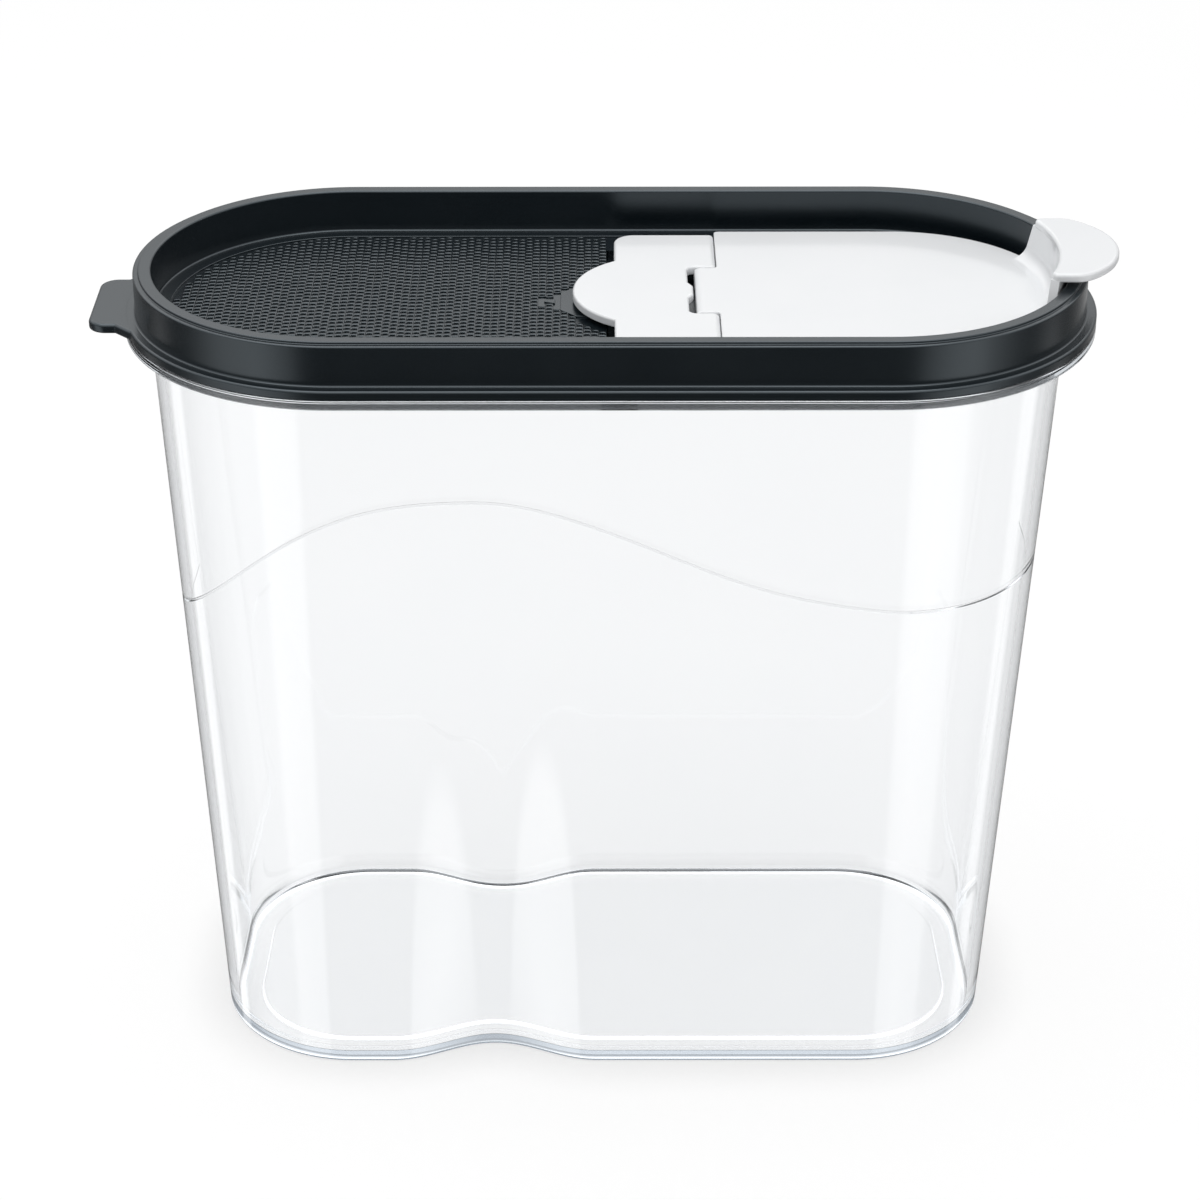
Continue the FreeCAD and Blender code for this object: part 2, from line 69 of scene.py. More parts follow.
# Rim of the lid, as insets from the outside of its wall
FLANGE_REACH = 2.4
RIM_HALF = tub_high.y - FLANGE_REACH
POUR_X = tub_high.x - tub_high.y        # centre of the rim's round pour end
PLAIN_X = tub_low.x + tub_high.y        # centre of the other round end
CHANNEL_OUTER = 1.2
NECK_OUTER = 1.4
NECK_INNER = 2.7
CHANNEL_INNER = 2.9
TRAY_INSET = 4.1
FIELD_INSET = 7.6
RIM_STEP_WIDTH = 1.2
RIM_STEP_DROP = 0.6

# Heights
NECK_HEIGHT = 9.6
TUB_FLANGE_THICK = 2.3
LID_FLANGE_THICK = 2.3
NECK_HEAD_CLEARANCE = 0.6
TRAY_RISE = 2.2
TRAY_FLOOR = 1.6
FIELD_DEPTH = 0.4
PLATE_THICK = 1.8
SKIRT_GAP = 0.3
NECK_TOP = tub_high.z
RIM_TOP = lid_high.z
SEAT_Z = NECK_TOP - NECK_HEIGHT         # where the lid's flange sits on the tub's
SHOULDER = SEAT_Z - TUB_FLANGE_THICK    # underside of the tub's flange
CHANNEL_ROOF = NECK_TOP + NECK_HEAD_CLEARANCE
LID_FLANGE_TOP = SEAT_Z + LID_FLANGE_THICK
TRAY_Z = SEAT_Z + TRAY_RISE
TRAY_UNDER = TRAY_Z - TRAY_FLOOR
FIELD_Z = TRAY_Z - FIELD_DEPTH
PLATE_TOP = bridge_high.z
PLATE_UNDER = PLATE_TOP - PLATE_THICK
SKIRT_UNDER = TRAY_Z + SKIRT_GAP

# Tub
BASE_HALF_LENGTH = 91.45
BASE_HALF_WIDTH = 42.5
BASE_CORNER = 32.0
BASE_SHIFT = 0.3
MOUTH_INSET = 3.8                       # wall at the shoulder, in from the rim wall
MOUTH_SHIFT = 1.4
MOUTH_FLAT = 0.6
WALL = 1.9
TUB_FLOOR = 2.0
FOOT_RADIUS = 0.9
INNER_FOOT_RADIUS = 3.5
PANEL_STEP = 0.8                        # raised panel of the floor
PANEL_GAP = 2.2                         # flat gutter between the wall's foot and the panel
PANEL_SLOPE = 0.7
WAIST_FLAT = 9.6
WAIST_LENGTH = 48.2
WAIST_DEPTH = 7.0
WAIST_TOP_DROP = 22.8
WAIST_TOP = SHOULDER - WAIST_TOP_DROP
WAIST_FADE = 0.2                        # share of the waist's height that eases it out

# Wave line: place along the wall, height below the shoulder, and slope there
WAVE = (
    (PLAIN_X - RIM_HALF, 71.4, 1.07),
    (-66.0, 33.5, 0.62),
    (-28.0, 24.8, 0.0),
    (40.0, 47.3, -0.27),
    (POUR_X + RIM_HALF, 52.7, 0.0),
)
WAVE_DEPTH = 0.6
WAVE_REACH = 0.5
WAVE_STEPS = 8
WAVE_PASSES = 6                         # to find where the line crosses the leaning wall
WAVE_END_SHARE = 0.2                    # of the groove's depth that goes on round the ends

# Lid details
PULL_LENGTH = tub_low.x - lid_low.x
PULL_HALF_WIDTH = 13.2
PULL_CORNER = 4.0
PULL_ROOT = 4.0
PULL_SINK = 1.0                         # how far its root goes into the flange
PULL_EDGES = (0.5, 0.7)                 # radii of its lower and upper edges
PAD_REACH = 2.7
PAD_HALF_WIDTH = 8.5
PAD_CHAMFER = 3.6
POINTER_GAP = 1.2
POINTER_REACH = 4.0
POINTER_HALF = 1.1
PAD_SINK = 0.1
PAD_EDGE = 0.12

# White parts
BRIDGE_LEFT = 2.9
BRIDGE_HALF = bridge_high.y
BRIDGE_CORNER = 4.6
BRIDGE_EDGES = (0.3, 0.6)
BRIDGE_SKIRT_INSET = 0.6
BRIDGE_SKIRT_SETBACK = 0.2              # from the notch
BRIDGE_SKIRT_CORNER = 0.6
BRIDGE_SKIRT_EDGE = 0.2
TAB_TIP = bridge_low.x
TAB_HALF_WIDTH = 17.0
TAB_REACH = BRIDGE_LEFT - TAB_TIP
TAB_RADIUS = (TAB_HALF_WIDTH ** 2 + TAB_REACH ** 2) / (2 * TAB_REACH)
TAB_X = TAB_TIP + TAB_RADIUS            # centre of the round finger tab
SEAM_RADIUS = 3.35
SEAM_CLEARANCE = 0.25
BARREL_RADIUS = 2.0
BARREL_SINK = 0.1                       # keeps it under the tongue's top face
BARREL_EDGE = 0.3
NOTCH_HALF = 13.3
NOTCH_ROOM = 1.5
NOTCH_LEFT = HINGE_X - BARREL_RADIUS - NOTCH_ROOM
STOP_HALF = 4.5
STOP_SLOPE = 2.2
STOP_GAP = 0.4
STOP_RIGHT = HINGE_X - BARREL_RADIUS - STOP_GAP
TONGUE_HALF = 12.8
TONGUE_ROUND = 1.2
LEG_INSET = 1.8
LEG_LEFT = BRIDGE_LEFT + LEG_INSET
LEG_THICK = 1.6
LEG_LENGTH = 18.0
LEG_CORNER = 0.4
LEG_EDGE = 0.3
LEG_END_INSET = 2.3
LEG_CENTRE_Y = BRIDGE_HALF - LEG_END_INSET - LEG_LENGTH / 2
LEG_UNDER = bridge_low.z
LEG_SLOT_SHOW = 1.7
PIN_RADIUS = 1.1
PIN_REACH = 2.2
PIN_EDGE = 0.2
KNUCKLE_RADIUS = 2.15
KNUCKLE_LENGTH = 4.2
KNUCKLE_SINK = 0.2                      # keeps it under the plate's top face
KNUCKLE_EDGE = 0.2
POCKET_ROOM = 0.35
POCKET_WALL = 1.2
POCKET_CORNER = 0.4
FLAP_HALF = 35.0
FLAP_EDGES = (0.2, 0.6)
SKIRT_WALL = 1.4
SKIRT_INSET = 0.3
SKIRT_CORNER = 2.0
SKIRT_SETBACK = 0.2                     # from the seam
SKIRT_EDGE = 0.3
RISER_CLEARANCE = 0.7
RISER_OUTER = RIM_HALF - TRAY_INSET - RISER_CLEARANCE
RISER_WALL = 2.0
RISER_INNER = RISER_OUTER - RISER_WALL
RISER_HALF_WIDTH = 17.0
RISER_FILLET = 3.0
RISER_EDGE = 0.4
RISER_UNDER_WIDTH = 1.5
RISER_SINK = 0.4                        # of its foot in the plate
RISER_SKIN = 0.02                       # of its foot on the plate
RISER_FOOT = 4.5                        # how far its soft foot reaches in
RISER_FLARE = 3.0                       # how much wider it is at its foot, on each side
FLAP_RIGHT = POUR_X + RISER_OUTER - RISER_WALL / 2
THUMB_THICK = 2.0
THUMB_TOP = flap_high.z
THUMB_UNDER = THUMB_TOP - THUMB_THICK
THUMB_TIP = flap_high.x
THUMB_TIP_RADIUS = 20.0
THUMB_CORNER = 6.0
THUMB_INNER_CORNER = 1.6
THUMB_TRIM = 3                          # points of the hollow that each inner corner takes up
THUMB_EDGES = (0.6, 0.8)                # radii of its lower and upper edges
OPENING_SETBACK = 11.0
OPENING_BORDER = 7.0
OPENING_LEFT = HINGE_X + OPENING_SETBACK
OPENING_RIGHT = FLAP_RIGHT - OPENING_BORDER
OPENING_HALF = FLAP_HALF - OPENING_BORDER
OPENING_CORNER = 6.0
LIP_CLEARANCE = 0.3
LIP_WALL = 1.2
LIP_UNDER = flap_low.z

# Grained field: a net of small pits
PIT_SIDES = 8
PIT_PITCH_X = 1.7
PIT_PITCH_Y = 1.9
PIT_HALF_X = 0.58
PIT_HALF_Y = 0.52
PIT_JITTER = 0.1
NET_HEIGHT = 0.3
NET_MARGIN = 1.2
NET_CLEAR = 0.8
NET_CLEAR_OF_TAB = 2.0
NET_SEED = 7

# Fineness of arcs and of rounded edges
ARC_STEP = math.radians(7.5)
FINE_ARC_STEP = 0.05
RISER_ARC_STEP = 0.04
RISER_STEPS = 40
ROD_STEPS = 32
FOOT_STEPS = 8
INNER_FOOT_STEPS = 10
PANEL_STEPS = 5
ROUND_STEPS = 5
END_STEPS = 64
SHARP_ANGLE = math.radians(38)
MERGE_DISTANCE = 0.002

# Overlaps of pieces that are joined or cut
THIN_JOIN = 0.05
JOIN = 0.2
DEEP_JOIN = 0.5
CUT_PAST = 1.0


# Outlines and meshes

def arc_points(centre, start, end, step=ARC_STEP):
    """Points from start to end, turning the short way round the centre."""
    first = start - centre
    last = end - centre
    from_angle = math.atan2(first.y, first.x)
    turn = math.remainder(math.atan2(last.y, last.x) - from_angle, math.tau)
    steps = max(2, round(abs(turn) / step))
    radius = first.length
    angles = [from_angle + turn * index / steps for index in range(steps + 1)]
    return [centre + Vector((math.cos(a), math.sin(a))) * radius for a in angles]


def round_path(corners):
    """Points of an outline given as (x, y, radius) corners; radius 0 stays sharp."""
    points = []
    for index, (x, y, radius) in enumerate(corners):
        here = Vector((x, y))
        if radius == 0:
            points.append(here)
            continue
        back = (Vector(corners[index - 1][:2]) - here).normalized()
        ahead = (Vector(corners[(index + 1) % len(corners)][:2]) - here).normalized()
        half = back.angle(ahead) / 2
        reach = radius / math.tan(half)
        centre = here + (back + ahead).normalized() * (radius / math.sin(half))
        points += arc_points(centre, here + back * reach, here + ahead * reach)
    return points


def inset_path(points, distance):
    """Closed anticlockwise outline, moved inwards."""
    moved = []
    for index, here in enumerate(points):
        before = (here - points[index - 1]).normalized()
        after = (points[(index + 1) % len(points)] - here).normalized()
        normal_a = Vector((-before.y, before.x))
        normal_b = Vector((-after.y, after.x))
        moved.append(here + (normal_a + normal_b) * (distance / (1 + normal_a.dot(normal_b))))
    return moved


def at_height(points, z):
    return [Vector((p.x, p.y, z)) for p in points]


def loft(rings, loop=False):
    """Mesh through rings of equal length, capped at both ends unless the rings form a loop."""
    mesh = bmesh.new()
    rows = [[mesh.verts.new(point * MM) for point in ring] for ring in rings]
    count = len(rows[0])
    pairs = list(zip(rows, rows[1:]))
    if loop:
        pairs.append((rows[-1], rows[0]))
    for low, high in pairs:
        for index in range(count):
            after = (index + 1) % count
            mesh.faces.new((low[index], low[after], high[after], high[index]))
    if not loop:
        mesh.faces.new(list(reversed(rows[0])))
        mesh.faces.new(rows[-1])
    return mesh


def edge_levels(low, high, low_round, high_round):
    """(inset, height) pairs up a wall whose lower and upper edges are rounded."""
    levels = []
    if low_round == 0:
        levels.append((0.0, low))
    if low_round > 0:
        for index in range(ROUND_STEPS + 1):
            angle = math.pi / 2 * index / ROUND_STEPS
            levels.append((low_round * (1 - math.sin(angle)), low + low_round * (1 - math.cos(angle))))
    if high_round == 0:
        levels.append((0.0, high))
    if high_round > 0:
        for index in range(ROUND_STEPS + 1):
            angle = math.pi / 2 * index / ROUND_STEPS
            levels.append((high_round * (1 - math.cos(angle)), high - high_round * (1 - math.sin(angle))))
    return levels


def slab(outline, low, high, low_round, high_round):
    """Upright solid with rounded edges over a closed anticlockwise outline."""
    levels = edge_levels(low, high, low_round, high_round)
    return loft([at_height(inset_path(outline, inset), z) for inset, z in levels])


def rectangle(x0, x1, y0, y1, radius):
    return round_path([(x0, y0, radius), (x1, y0, radius), (x1, y1, radius), (x0, y1, radius)])


def rod(x, z, radius, y0, y1, edge):
    """Cylinder along Y with rounded end edges."""
    rings = []
    for inset, y in edge_levels(y0, y1, edge, edge):
        reach = radius - inset
        ring = []
        for index in range(ROD_STEPS):
            angle = math.tau * index / ROD_STEPS
            ring.append(Vector((x + reach * math.cos(angle), y, z + reach * math.sin(angle))))
        rings.append(ring)
    return loft(rings)


def joined(*parts):
    """One mesh out of several."""
    whole = bmesh.new()
    for part in parts:
        scratch = bpy.data.meshes.new("scratch")
        part.to_mesh(scratch)
        part.free()
        whole.from_mesh(scratch)
        bpy.data.meshes.remove(scratch)
    return whole


def mesh_object(name, mesh):
    """Object from a mesh under construction, with its normals outwards."""
    bmesh.ops.remove_doubles(mesh, verts=mesh.verts, dist=MERGE_DISTANCE * MM)
    bmesh.ops.recalc_face_normals(mesh, faces=mesh.faces)
    data = bpy.data.meshes.new(name)
    mesh.to_mesh(data)
    mesh.free()
    thing = bpy.data.objects.new(name, data)
    bpy.context.scene.collection.objects.link(thing)
    return thing


def smooth(thing):
    """Smooth shading with sharp creases kept, and flat faces left flat beside rounded edges."""
    thing.data.polygons.foreach_set("use_smooth", [True] * len(thing.data.polygons))
    thing.data.set_sharp_from_angle(angle=SHARP_ANGLE)
    weighted = thing.modifiers.new("flat_faces", "WEIGHTED_NORMAL")
    weighted.keep_sharp = True


def piece(name, mesh, body, material):
    """A finished piece of the object, which moves with a body."""
    thing = mesh if isinstance(mesh, bpy.types.Object) else mesh_object(name, mesh)
    smooth(thing)
    thing.data.materials.append(material)
    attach(thing, body)
    return thing


def boolean(thing, other, operation):
    """Adds or cuts another object, which is used up."""
    change = thing.modifiers.new("change", "BOOLEAN")
    change.operation = operation
    change.solver = "EXACT"
    change.object = other
    with bpy.context.temp_override(object=thing, active_object=thing):
        bpy.ops.object.modifier_apply(modifier=change.name)
    bpy.data.objects.remove(other)


# Materials

class Nodes:
    """Short way to write a node tree."""

    def __init__(self, tree, keep=False):
        self.tree = tree
        if not keep:
            tree.nodes.clear()

    def add(self, kind, **settings):
        node = self.tree.nodes.new(kind)
        for name, value in settings.items():
            setattr(node, name, value)
        return node

    def link(self, source, target):
        self.tree.links.new(source, target)

    def math(self, operation, *values):
        node = self.add("ShaderNodeMath", operation=operation)
        for index, value in enumerate(values):
            if isinstance(value, (int, float)):
                node.inputs[index].default_value = value
            else:
                self.link(value, node.inputs[index])
        return node.outputs[0]

    def noise(self, vector, scale, detail=3.0):
        node = self.add("ShaderNodeTexNoise")
        node.inputs["Scale"].default_value = scale
        node.inputs["Detail"].default_value = detail
        self.link(vector, node.inputs["Vector"])
        return node.outputs["Fac"]

    def ramp(self, factor, stops):
        node = self.add("ShaderNodeValToRGB")
        elements = node.color_ramp.elements
        elements[0].position, elements[1].position = stops[0][0], stops[-1][0]
        for place, colour in stops[1:-1]:
            elements.new(place)
        for element, (place, colour) in zip(elements, stops):
            element.color = (*colour, 1.0)
        self.link(factor, node.inputs["Fac"])
        return node.outputs["Color"]

    def span(self, value, low, high):
        """Value from 0 to 1, mapped to low to high."""
        node = self.add("ShaderNodeMapRange")
        node.inputs["To Min"].default_value = low
        node.inputs["To Max"].default_value = high
        self.link(value, node.inputs["Value"])
        return node.outputs["Result"]


CLOUD_SPAN = (0.3, 0.7)
GRAIN_DETAIL = 2.0
GRAIN_STRENGTH = 0.2
CLEAR_IOR = 1.5
WHITE_IOR = 1.55
DARK_SPECULAR = 0.68
DARK_SPECULAR_TINT = (0.82, 0.93, 1.0, 1.0)


def plastic(name, dark, light, rough, cloud_scale, grain_scale, grain_height):
    """Moulded plastic: faint clouding, uneven gloss and a fine skin."""
    material = bpy.data.materials.new(name)
    material.use_nodes = True
    nodes = Nodes(material.node_tree)
    place = nodes.add("ShaderNodeTexCoord").outputs["Object"]
    cloud = nodes.noise(place, cloud_scale)
    grain = nodes.noise(place, grain_scale, GRAIN_DETAIL)
    shader = nodes.add("ShaderNodeBsdfPrincipled")
    stops = list(zip(CLOUD_SPAN, (dark, light)))
    nodes.link(nodes.ramp(cloud, stops), shader.inputs["Base Color"])
    nodes.link(nodes.span(cloud, *rough), shader.inputs["Roughness"])
    bump = nodes.add("ShaderNodeBump")
    bump.inputs["Strength"].default_value = GRAIN_STRENGTH
    bump.inputs["Distance"].default_value = grain_height * MM
    nodes.link(grain, bump.inputs["Height"])
    nodes.link(bump.outputs["Normal"], shader.inputs["Normal"])
    output = nodes.add("ShaderNodeOutputMaterial")
    nodes.link(shader.outputs["BSDF"], output.inputs["Surface"])
    return material, shader


# Light that has crossed the walls many times, and light from the lamps, goes straight on
TRAPPED_DEPTH = 5.5
SHADOW_TINT = (0.985, 0.987, 0.99, 1.0)
BODY_TINT = (0.78, 0.82, 0.86, 1.0)
BODY_DENSITY = 52.0                     # for each metre of plastic


def clear_plastic():
    """Clear walls that bend what is seen through them and cast only a light shadow."""
    material, shader = plastic(
        "clear_plastic", dark=(0.992, 0.994, 0.996), light=(0.998, 0.999, 1.0), rough=(0.0, 0.012),
        cloud_scale=30.0, grain_scale=90.0, grain_height=0.01)
    shader.inputs["Transmission Weight"].default_value = 1.0
    shader.inputs["IOR"].default_value = CLEAR_IOR
    nodes = Nodes(material.node_tree, keep=True)
    through = nodes.add("ShaderNodeBsdfTransparent")
    through.inputs["Color"].default_value = SHADOW_TINT
    path = nodes.add("ShaderNodeLightPath")
    trapped = nodes.math("GREATER_THAN", path.outputs["Ray Depth"], TRAPPED_DEPTH)
    mix = nodes.add("ShaderNodeMixShader")
    nodes.link(nodes.math("MAXIMUM", path.outputs["Is Shadow Ray"], trapped), mix.inputs[0])
    nodes.link(shader.outputs["BSDF"], mix.inputs[1])
    nodes.link(through.outputs["BSDF"], mix.inputs[2])
    output = nodes.tree.nodes["Material Output"]
    nodes.link(mix.outputs[0], output.inputs["Surface"])
    body = nodes.add("ShaderNodeVolumeAbsorption")
    body.inputs["Color"].default_value = BODY_TINT
    body.inputs["Density"].default_value = BODY_DENSITY
    nodes.link(body.outputs[0], output.inputs["Volume"])
    return material


def dark_plastic():
    material, shader = plastic(
        "dark_plastic", dark=(0.0032, 0.0062, 0.0085), light=(0.0046, 0.0078, 0.0102), rough=(0.21, 0.28),
        cloud_scale=60.0, grain_scale=2500.0, grain_height=0.003)
    shader.inputs["Specular IOR Level"].default_value = DARK_SPECULAR
    shader.inputs["Specular Tint"].default_value = DARK_SPECULAR_TINT
    return material


def white_plastic():
    material, shader = plastic(
        "white_plastic", dark=(0.815, 0.828, 0.842), light=(0.835, 0.845, 0.858), rough=(0.11, 0.16),
        cloud_scale=45.0, grain_scale=1800.0, grain_height=0.005)
    shader.inputs["IOR"].default_value = WHITE_IOR
    return material


CLEAR = clear_plastic()
DARK = dark_plastic()
WHITE = white_plastic()


# Tub

def tub_columns():
    """Places round the tub, anticlockwise: a corner's side and angle, or a share of a long wall."""
    columns = []
    corner_steps = 36
    wall_steps = 72
    for side_x, side_y, start in ((1, -1, -90), (1, 1, 0), (-1, 1, 90), (-1, -1, 180)):
        for index in range(corner_steps + 1):
            columns.append((side_x, side_y, math.radians(start + 90 * index / corner_steps), None))
        if side_x == side_y:
            shares = [index / wall_steps for index in range(1, wall_steps)]
            columns += [(0, side_y, None, 1 - share if side_y == 1 else share) for share in shares]
    return columns


COLUMNS = tub_columns()


def outline_point(column, half_length, half_width, corner, shift, dip):
    """Point of a rounded rectangle; dip gives how far the long walls draw in at x."""
    side_x, side_y, angle, share = column
    if angle is not None:
        x = shift + side_x * (half_length - corner) + corner * math.cos(angle)
        y = side_y * (half_width - corner) + corner * math.sin(angle)
        return x, y
    left = shift - half_length + corner
    x = left + 2 * (half_length - corner) * share
    return x, side_y * (half_width - dip(x - left))


def waist_dip(z):
    """How far the long walls draw in at height z, by distance from the left corner."""
    height = z / WAIST_TOP
    fade = 1 - height
    if height > 1 - WAIST_FADE:
        fade = max(0.0, 1 + WAIST_FADE - height) ** 2 / (4 * WAIST_FADE)

    def dip(distance):
        place = (distance - WAIST_FLAT) / WAIST_LENGTH
        if place <= 0 or place >= 1:
            return 0.0
        return WAIST_DEPTH * fade * (1 - math.cos(math.tau * place)) / 2

    return dip


def wall_point(column, z, inset):
    share = z / SHOULDER
    mouth_half = RIM_HALF - MOUTH_INSET
    mouth_length = (POUR_X - PLAIN_X) / 2 + mouth_half
    half_length = BASE_HALF_LENGTH * (1 - share) + mouth_length * share - inset
    half_width = BASE_HALF_WIDTH * (1 - share) + mouth_half * share - inset
    corner = BASE_CORNER * (1 - share) + (mouth_half - MOUTH_FLAT) * share - inset
    shift = BASE_SHIFT * (1 - share) + MOUTH_SHIFT * share
    x, y = outline_point(column, half_length, half_width, corner, shift, waist_dip(z))
    return Vector((x, y, z))


def rim_point(column, inset, z):
    half = RIM_HALF - inset
    half_length = (POUR_X - PLAIN_X) / 2 + half
    x, y = outline_point(column, half_length, half, half, (POUR_X + PLAIN_X) / 2, lambda distance: 0.0)
    return Vector((x, y, z))


def wave_height(x):
    """Height of the wave line at x, through its points with their slopes."""
    for (x0, drop0, slope0), (x1, drop1, slope1) in zip(WAVE, WAVE[1:]):
        if x <= x1 or x1 == WAVE[-1][0]:
            break
    span = x1 - x0
    t = (x - x0) / span
    rise = (2 * t ** 3 - 3 * t ** 2 + 1) * -drop0 + (3 * t ** 2 - 2 * t ** 3) * -drop1
    lean = (t ** 3 - 2 * t ** 2 + t) * slope0 + (t ** 3 - t ** 2) * slope1
    return SHOULDER + rise + span * lean


def wave_on_wall(column):
    """Height at which the wave line crosses this column of the leaning wall."""
    z = WAIST_TOP
    for step in range(WAVE_PASSES):
        z = wave_height(wall_point(column, z, 0).x)
    return z


def wave_share(column):
    """The groove is cut in the front only, and runs out round both ends."""
    side_x, side_y, angle, share = column
    if side_y > 0:
        return 0.0
    if angle is None:
        return 1.0
    return WAVE_END_SHARE + (1 - WAVE_END_SHARE) * math.sin(angle) ** 4


def tub_rings():
    """Rings from the middle of the foot, up the outside, over the neck and down the inside."""
    rings = []
    for index in range(FOOT_STEPS + 1):
        angle = math.pi / 2 * index / FOOT_STEPS
        inset = FOOT_RADIUS * (1 - math.sin(angle))
        rings.append([wall_point(c, FOOT_RADIUS * (1 - math.cos(angle)), inset) for c in COLUMNS])
    waves = [wave_on_wall(c) for c in COLUMNS]
    lower_steps = 24
    for index in range(1, lower_steps):
        share = index / lower_steps
        rings.append([
            wall_point(c, FOOT_RADIUS + (wave - WAVE_REACH - FOOT_RADIUS) * share, 0)
            for c, wave in zip(COLUMNS, waves)
        ])
    for index in range(WAVE_STEPS + 1):
        across = 2 * index / WAVE_STEPS - 1
        depth = WAVE_DEPTH * (1 + math.cos(math.pi * across)) / 2
        rings.append([
            wall_point(c, wave + WAVE_REACH * across, depth * wave_share(c))
            for c, wave in zip(COLUMNS, waves)
        ])
    upper_steps = 10
    for index in range(1, upper_steps + 1):
        share = index / upper_steps
        rings.append([
            wall_point(c, (wave + WAVE_REACH) * (1 - share) + SHOULDER * share, 0)
            for c, wave in zip(COLUMNS, waves)
        ])
    rim = round_path([
        (NECK_OUTER, SHOULDER, 0),
        (-FLANGE_REACH, SHOULDER, 0.6),
        (-FLANGE_REACH, SEAT_Z, 0.4),
        (NECK_OUTER, SEAT_Z, 0),
        (NECK_OUTER, NECK_TOP, 0.4),
        (NECK_INNER, NECK_TOP, 0.4),
        (NECK_INNER, SEAT_Z, 0),
    ])
    rings += [[rim_point(c, p.x, p.y) for c in COLUMNS] for p in rim]
    gutter = TUB_FLOOR - PANEL_STEP
    inner_low = gutter + INNER_FOOT_RADIUS
    inner_steps = 30
    for index in range(inner_steps):
        z = SEAT_Z + (inner_low - SEAT_Z) * index / inner_steps
        rings.append([wall_point(c, z, WALL) for c in COLUMNS])
    for index in range(INNER_FOOT_STEPS + 1):
        angle = math.pi / 2 * index / INNER_FOOT_STEPS
        inset = WALL + INNER_FOOT_RADIUS * (1 - math.cos(angle))
        z = gutter + INNER_FOOT_RADIUS * (1 - math.sin(angle))
        rings.append([wall_point(c, z, inset) for c in COLUMNS])
    for index in range(PANEL_STEPS + 1):
        share = index / PANEL_STEPS
        inset = WALL + INNER_FOOT_RADIUS + PANEL_GAP + PANEL_SLOPE * share
        z = gutter + PANEL_STEP * (1 - math.cos(math.pi * share)) / 2
        rings.append([wall_point(c, z, inset) for c in COLUMNS])
    return rings


tub = piece("tub", loft(tub_rings()), "container", CLEAR)
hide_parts("container_body")


# Lid

def stadium(half):
    """Round-ended outline of the rim at a given half width, anticlockwise."""
    points = []
    for centre, start in ((POUR_X, -90), (PLAIN_X, 90)):
        for index in range(END_STEPS + 1):
            angle = math.radians(start + 180 * index / END_STEPS)
            points.append(Vector((centre + half * math.cos(angle), half * math.sin(angle))))
    return points


def pour_outline(left, right, half, corner):
    """Outline with a round right end and two corners on the left, anticlockwise."""
    centre = right - half
    points = arc_points(Vector((centre, 0)), Vector((centre, -half)), Vector((right, 0)))
    points += arc_points(Vector((centre, 0)), Vector((right, 0)), Vector((centre, half)))[1:]
    left_corners = round_path([
        (centre, half, 0),
        (left, half, corner),
        (left, -half, corner),
        (centre, -half, 0),
    ])
    return points + left_corners[1:-1]


def lid_shell():
    section = round_path([
        (FIELD_INSET, TRAY_UNDER, 0),
        (CHANNEL_INNER, TRAY_UNDER, 0.3),
        (CHANNEL_INNER, CHANNEL_ROOF, 0.3),
        (CHANNEL_OUTER, CHANNEL_ROOF, 0.3),
        (CHANNEL_OUTER, SEAT_Z, 0.2),
        (-FLANGE_REACH, SEAT_Z, 0.4),
        (-FLANGE_REACH, LID_FLANGE_TOP, 0.6),
        (0.0, LID_FLANGE_TOP, 0.5),
        (0.0, RIM_TOP - RIM_STEP_DROP, 0.4),
        (RIM_STEP_WIDTH, RIM_TOP - RIM_STEP_DROP, 0.2),
        (RIM_STEP_WIDTH, RIM_TOP, 0.3),
        (TRAY_INSET, RIM_TOP, 0.5),
        (TRAY_INSET, TRAY_Z, 0.5),
        (FIELD_INSET, TRAY_Z, 0.15),
        (FIELD_INSET, FIELD_Z, 0),
    ])
    shell = mesh_object("lid_shell", loft([at_height(stadium(RIM_HALF - p.x), p.y) for p in section]))
    right = HINGE_X + SEAM_RADIUS
    end = NOTCH_HALF + KNUCKLE_LENGTH
    walls = (POCKET_WALL, "UNION", TRAY_UNDER + DEEP_JOIN)
    holes = (0.0, "DIFFERENCE", TRAY_Z + CUT_PAST)
    for grow, operation, top in (walls, holes):
        room = POCKET_ROOM + grow
        low = HINGE_Z - KNUCKLE_RADIUS - room
        outline = rectangle(NOTCH_LEFT - room, right + room, -end - room, end + room, POCKET_CORNER)
        blocks = [slab(outline, low, top, 0, 0)]
        for side in (-1, 1):
            y = side * LEG_CENTRE_Y
            reach = LEG_LENGTH / 2 + room
            outline = rectangle(BRIDGE_LEFT - LEG_SLOT_SHOW - grow, LEG_LEFT + LEG_THICK + room,
                                y - reach, y + reach, POCKET_CORNER)
            blocks.append(slab(outline, LEG_UNDER - room, top, 0, 0))
        for block in blocks:
            boolean(shell, mesh_object("block", block), operation)
    opening = pour_outline(OPENING_LEFT, OPENING_RIGHT, OPENING_HALF, OPENING_CORNER)
    hole = slab(opening, LIP_UNDER, TRAY_Z + CUT_PAST, 0, 0)
    boolean(shell, mesh_object("block", hole), "DIFFERENCE")
    return shell


def pull_tab():
    half = RIM_HALF + FLANGE_REACH
    w = PULL_HALF_WIDTH
    end = PLAIN_X - half - PULL_LENGTH
    root = PLAIN_X - math.sqrt(half ** 2 - (w + PULL_ROOT) ** 2)
    outline = round_path([
        (root + PULL_SINK, w + PULL_ROOT, 0),
        (root, w + PULL_ROOT, 0),
        (root - PULL_ROOT, w, 0.1),
        (end, w, PULL_CORNER),
        (end, -w, PULL_CORNER),
        (root - PULL_ROOT, -w, 0.1),
        (root, -w - PULL_ROOT, 0),
        (root + PULL_SINK, -w - PULL_ROOT, 0),
    ])
    return slab(outline, SEAT_Z + THIN_JOIN, LID_FLANGE_TOP - THIN_JOIN, *PULL_EDGES)


